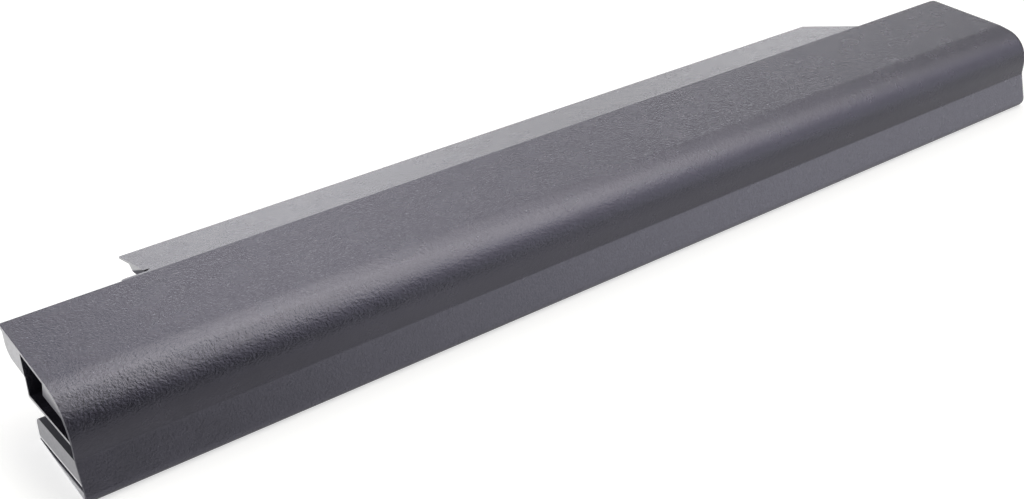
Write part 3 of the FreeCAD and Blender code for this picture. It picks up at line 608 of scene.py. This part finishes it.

# %% [markdown]
# ## The lip and the lower front
#
# The base cover's thin lip under the hook is painted pale as well, as painted light from the left, up to
# the dark line of the seam. The slanted lower front of the case is painted a shade paler than the rest,
# more so to the right: painted light for the light from the front on the right. Both are masks of the
# same kind.

# %% The lip and the lower front
LIP_SLANT = 0.0458
LIP_SEAM = (-137.40 * MM, -137.20 * MM)
LIP_TOP = (0.5 * MM, 0.7 * MM)
# where the painted light on the slanted lower front lies, and how much of it shows from left to right
FACET_TOP = (8.9 * MM, 9.4 * MM)
FRONT_FACING = (0.80, 0.90)
FACET_SHARE = (-165.0 * MM, 55.0 * MM, 0.075, 0.86)


def lip_painted_light(tree, point):
    """Where the cover's lip is painted pale as painted light from the left: all of its left face, and its
    top up to the seam's dark line.
    """
    across, depth, height = axes(tree, point)
    slanted = combine(tree, "ADD", across, combine(tree, "MULTIPLY", depth, LIP_SLANT))
    top = ramp(tree, slanted, *LIP_SEAM, 1.0, 0.0)
    low = ramp(tree, height, *LIP_TOP, 1.0, 0.0)
    return combine(tree, "MULTIPLY", combine(tree, "MAXIMUM", top, looks_left(tree, point)), low), 1.0


def lower_front_light(tree, point):
    """How much painted light the slanted lower front shows, for the light from the front on the right."""
    across, _depth, height = axes(tree, point)
    looks_front = ramp(tree, combine(tree, "MULTIPLY", facing(tree)[1], -1.0), *FRONT_FACING, 0.0, 1.0)
    share = ramp(tree, across, *FACET_SHARE)
    below = ramp(tree, height, *FACET_TOP, 1.0, 0.0)
    return combine(tree, "MULTIPLY", combine(tree, "MULTIPLY", looks_front, share), below)


print("the lower front's share of the paler tone goes from", FACET_SHARE[2], "to", FACET_SHARE[3])

# %% [markdown]
# ## Case plastic
#
# The case is dark violet-grey plastic with a fine moulded grain and a half gloss. Nearly all of its
# tone comes from what it mirrors, so the colour itself is close to black. Worn edges are a touch
# lighter. Grain goes into a Bump node, with its height in metres, so that it bends the reflections and
# leaves the outline alone. The shell and the cover share one function, each with its own places of
# painted light and shade and its own grain height.

# %% Case plastic
CASE_IOR = 1.585
CASE_COLOUR = (0.0125, 0.012, 0.0165, 1.0)
MOTTLED_COLOUR = (0.02, 0.0192, 0.0264, 1.0)
# painted light: the paler tone of the slanted lower front, for the light from the front on the right
FACET_PAINTED_LIGHT = (0.198, 0.197, 0.239, 1.0)
WORN_COLOUR = (0.45, 0.45, 0.47, 1.0)
DUST_COLOUR = (0.6, 0.59, 0.57, 1.0)
# painted shade and painted light of the left end: dark where shade falls, pale where the light from the
# left falls
PAINTED_SHADE_COLOUR = (0.05, 0.05, 0.055, 1.0)
PAINTED_LIGHT_COLOUR = (0.93, 0.93, 0.94, 1.0)
CASE_GLOSS = (0.245, 0.275)
END_GLOSS = 0.85
GRAIN_SIZE = 0.48 * MM
PEBBLE_HEIGHT = (0.5, 0.9)
SPECKLE = 0.82
EDGE_WEAR = 0.04


def case_plastic(name, painted_places, grain_height):
    """Half gloss moulded plastic, matt at its left end, with painted light and shade there."""
    material = bpy.data.materials.new(name)
    tree = tree_of(material)
    point = object_point(tree)
    grain = place_group(tree, moulded_grain, Vector=point, Grain_Size=GRAIN_SIZE)
    marks = place_group(tree, handling, Vector=point, Dust=0.10, Scuffs=0.04)
    worn = add_node(tree, "ShaderNodeAttribute", {"attribute_name": "edge"}).outputs["Fac"]
    paint = blend(tree, grain["Mottle"], CASE_COLOUR, MOTTLED_COLOUR)
    pebbles = ramp(tree, grain["Height"], *PEBBLE_HEIGHT, SPECKLE, 1.0)
    # painted light: the slanted lower front is painted paler, more so to the right
    paint = blend(tree, combine(tree, "MULTIPLY", lower_front_light(tree, point), pebbles), paint, FACET_PAINTED_LIGHT)
    paint = blend(tree, combine(tree, "MULTIPLY", worn, EDGE_WEAR), paint, WORN_COLOUR)
    paint = blend(tree, marks["Dust"], paint, DUST_COLOUR)
    speckle = ramp(tree, grain["Height"], *PEBBLE_HEIGHT, 1.0, SPECKLE)
    # painted light and shade: the left end's faces are painted pale where light falls on them and dark
    # where shade falls
    painted_end, pale = painted_places(tree, point)
    painted_tone = blend(tree, combine(tree, "MULTIPLY", pale, speckle), PAINTED_SHADE_COLOUR, PAINTED_LIGHT_COLOUR)
    paint = blend(tree, painted_end, paint, painted_tone)
    gloss = combine(tree, "ADD", ramp(tree, grain["Mottle"], 0.0, 1.0, *CASE_GLOSS), marks["Scuffs"])
    gloss = add_node(tree, "ShaderNodeMix", _0=painted_end, _2=gloss, _3=END_GLOSS).outputs[0]
    bumps = add_node(tree, "ShaderNodeBump", Height=grain["Height"], Strength=1.0, Distance=grain_height)
    finish = add_node(
        tree, "ShaderNodeBsdfPrincipled", Base_Color=paint, Roughness=gloss, Normal=bumps.outputs["Normal"],
        IOR=CASE_IOR, Specular_IOR_Level=0.90, Specular_Tint=(0.84, 0.82, 1.0, 1.0),
    )
    add_node(tree, "ShaderNodeOutputMaterial", Surface=finish.outputs["BSDF"])
    return material


# each case finish gets its own painted light and shade at the left end
finishes = {
    "shell_plastic": case_plastic("shell_plastic", shell_painted_light, 0.105 * MM),
    "cover_plastic": case_plastic("cover_plastic", lip_painted_light, 0.06 * MM),
}
print("case finishes:", list(finishes))

# %% [markdown]
# ## Plain moulded and coated pieces
#
# The pieces inside are sealed in, so their finishes are plain, yet each still has its own tone,
# gloss and grain. One function makes them all: it blends two near colours by the mottle of the shared
# grain, varies the gloss the same way and bumps the surface by the grain's height. Foam and fibre are
# coarse and dull, shrunk film and glazed ceramic are fine and glossy.

# %% Plain moulded and coated pieces
def plain_finish(name, dark, pale, gloss, grain_size, grain_height):
    """A finish that varies between two colours and two roughnesses."""
    material = bpy.data.materials.new(name)
    tree = tree_of(material)
    grain = place_group(tree, moulded_grain, Vector=object_point(tree), Grain_Size=grain_size * MM)
    relief = grain_height * MM
    bumps = add_node(tree, "ShaderNodeBump", Height=grain["Height"], Strength=1.0, Distance=relief)
    paint = blend(tree, grain["Mottle"], (*dark, 1.0), (*pale, 1.0))
    finish = add_node(
        tree, "ShaderNodeBsdfPrincipled", Base_Color=paint, Normal=bumps.outputs["Normal"],
        Roughness=ramp(tree, grain["Mottle"], 0.0, 1.0, *gloss),
    )
    add_node(tree, "ShaderNodeOutputMaterial", Surface=finish.outputs["BSDF"])
    return material


PLAIN_FINISHES = {
    # name: darker colour, paler colour, two roughnesses, grain size and grain height in millimetres
    "cell_wrap": ((0.055, 0.25, 0.36), (0.08, 0.32, 0.44), (0.22, 0.34), 1.2, 0.02),
    "ring_fibre": ((0.70, 0.67, 0.60), (0.84, 0.82, 0.77), (0.75, 0.9), 0.15, 0.02),
    "clear_tape": ((0.62, 0.58, 0.45), (0.76, 0.73, 0.62), (0.35, 0.5), 0.6, 0.01),
    "pad_foam": ((0.018, 0.018, 0.02), (0.045, 0.045, 0.048), (0.85, 0.95), 0.3, 0.08),
    "amber_film": ((0.48, 0.20, 0.03), (0.62, 0.30, 0.05), (0.12, 0.22), 1.5, 0.004),
    "connector_plastic": ((0.016, 0.016, 0.018), (0.026, 0.026, 0.029), (0.42, 0.52), 0.25, 0.006),
    "black_resin": ((0.016, 0.016, 0.016), (0.026, 0.026, 0.026), (0.5, 0.62), 0.08, 0.004),
    "white_ceramic": ((0.70, 0.69, 0.65), (0.80, 0.79, 0.76), (0.25, 0.35), 0.1, 0.002),
    "resistor_film": ((0.025, 0.025, 0.03), (0.04, 0.04, 0.046), (0.2, 0.3), 0.1, 0.002),
    "capacitor_ceramic": ((0.36, 0.25, 0.16), (0.48, 0.35, 0.24), (0.4, 0.5), 0.08, 0.003),
    "bead_resin": ((0.10, 0.022, 0.014), (0.16, 0.045, 0.03), (0.15, 0.22), 0.4, 0.01),
    "black_insulation": ((0.016, 0.016, 0.016), (0.03, 0.03, 0.03), (0.5, 0.6), 0.3, 0.005),
    "red_insulation": ((0.38, 0.014, 0.012), (0.50, 0.03, 0.025), (0.48, 0.6), 0.3, 0.005),
}
for name, values in PLAIN_FINISHES.items():
    finishes[name] = plain_finish(name, *values)
print("plain finishes:", len(PLAIN_FINISHES))

# %% [markdown]
# ## Metals
#
# The cans are deep drawn steel with a nickel plating, the links are rolled nickel strip and the
# contacts are gold plated. A metal has no colour of its own under the gloss, so the colour is the
# tint of its reflection. The drawn grain changes both tint and roughness along fine lines.

# %% Metals
def metal_finish(name, dark, pale, gloss, line_width):
    """A metal with fine lines along the pack."""
    material = bpy.data.materials.new(name)
    tree = tree_of(material)
    grain = place_group(tree, drawn_grain, Vector=object_point(tree), Line_Width=line_width * MM)
    bumps = add_node(tree, "ShaderNodeBump", Height=grain["Height"], Strength=0.4, Distance=0.002 * MM)
    finish = add_node(
        tree, "ShaderNodeBsdfPrincipled", Base_Color=blend(tree, grain["Tone"], (*dark, 1.0), (*pale, 1.0)),
        Metallic=1.0, Roughness=ramp(tree, grain["Tone"], 0.0, 1.0, *gloss), Normal=bumps.outputs["Normal"],
    )
    add_node(tree, "ShaderNodeOutputMaterial", Surface=finish.outputs["BSDF"])
    return material


METAL_FINISHES = {
    # name: darker tint, paler tint, two roughnesses, width of a line in millimetres
    "cell_steel": ((0.50, 0.50, 0.50), (0.68, 0.68, 0.68), (0.25, 0.36), 0.12),
    "nickel": ((0.54, 0.52, 0.48), (0.72, 0.70, 0.66), (0.28, 0.40), 0.06),
    "gold_plate": ((0.75, 0.52, 0.20), (0.90, 0.70, 0.34), (0.18, 0.26), 0.05),
}
for name, values in METAL_FINISHES.items():
    finishes[name] = metal_finish(name, *values)
print("metals:", len(METAL_FINISHES))

# %% [markdown]
# ## Circuit board
#
# A board is glass cloth and resin under a green solder mask. The copper tracks below the mask show as
# paler lines, which run along or across the board. Two square waves, one along each axis, make the
# lines, and a blocky noise chooses which of the two shows in each area.

# %% Circuit board
TRACK_PITCH = 1.4 * MM
TRACK_EDGE = (0.10, 0.16)
MASK_DARK = (0.012, 0.12, 0.042, 1.0)
MASK_PALE = (0.02, 0.16, 0.058, 1.0)
TRACK_COLOUR = (0.05, 0.27, 0.10, 1.0)


def board_finish(name):
    """Green solder mask with paler tracks below it."""
    material = bpy.data.materials.new(name)
    tree = tree_of(material)
    point = object_point(tree)
    across, depth, _height = axes(tree, point)
    lines = []
    for place in (across, depth):
        phase = combine(tree, "FRACT", combine(tree, "DIVIDE", place, TRACK_PITCH), 0.0)
        away = combine(tree, "ABSOLUTE", combine(tree, "SUBTRACT", phase, 0.5), 0.0)
        lines.append(ramp(tree, away, *TRACK_EDGE, 1.0, 0.0))
    areas = add_node(tree, "ShaderNodeTexVoronoi", {"distance": "CHEBYCHEV"}, Vector=point, Scale=90.0)
    choice = ramp(tree, axes(tree, areas.outputs["Color"])[0], 0.45, 0.55, 0.0, 1.0)
    cross = combine(tree, "MULTIPLY", lines[0], choice)
    along = combine(tree, "MULTIPLY", lines[1], combine(tree, "SUBTRACT", 1.0, choice))
    tracks = combine(tree, "ADD", cross, along)
    grain = place_group(tree, moulded_grain, Vector=point, Grain_Size=0.3 * MM)
    mask = blend(tree, grain["Mottle"], MASK_DARK, MASK_PALE)
    paint = blend(tree, tracks, mask, TRACK_COLOUR)
    relief = combine(tree, "ADD", tracks, combine(tree, "MULTIPLY", grain["Height"], 0.1))
    bumps = add_node(tree, "ShaderNodeBump", Height=relief, Strength=1.0, Distance=0.02 * MM)
    finish = add_node(
        tree, "ShaderNodeBsdfPrincipled", Base_Color=paint, Normal=bumps.outputs["Normal"],
        Roughness=ramp(tree, grain["Mottle"], 0.0, 1.0, 0.22, 0.34),
    )
    add_node(tree, "ShaderNodeOutputMaterial", Surface=finish.outputs["BSDF"])
    return material


finishes["board_laminate"] = board_finish("board_laminate")
print("board finish ready")

# %% [markdown]
# ## A finish for every piece
#
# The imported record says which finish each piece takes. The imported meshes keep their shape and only
# get the new material. The softened copies get the material of the piece that they stand for.

# %% A finish for every piece
slot_of = {part["node"]: part["material_slot"] for part in frame["record"]["subparts"]}
for node, slot in slot_of.items():
    nodes[node].material_slots[0].material = finishes[slot]
for piece, node in ((shell, "upper_shell"), (cover, "base_cover"), (housing, "connector_housing")):
    piece.data.materials.clear()
    piece.data.materials.append(finishes[slot_of[node]])
print("finishes used:", len(set(slot_of.values())), "on", len(slot_of), "pieces")
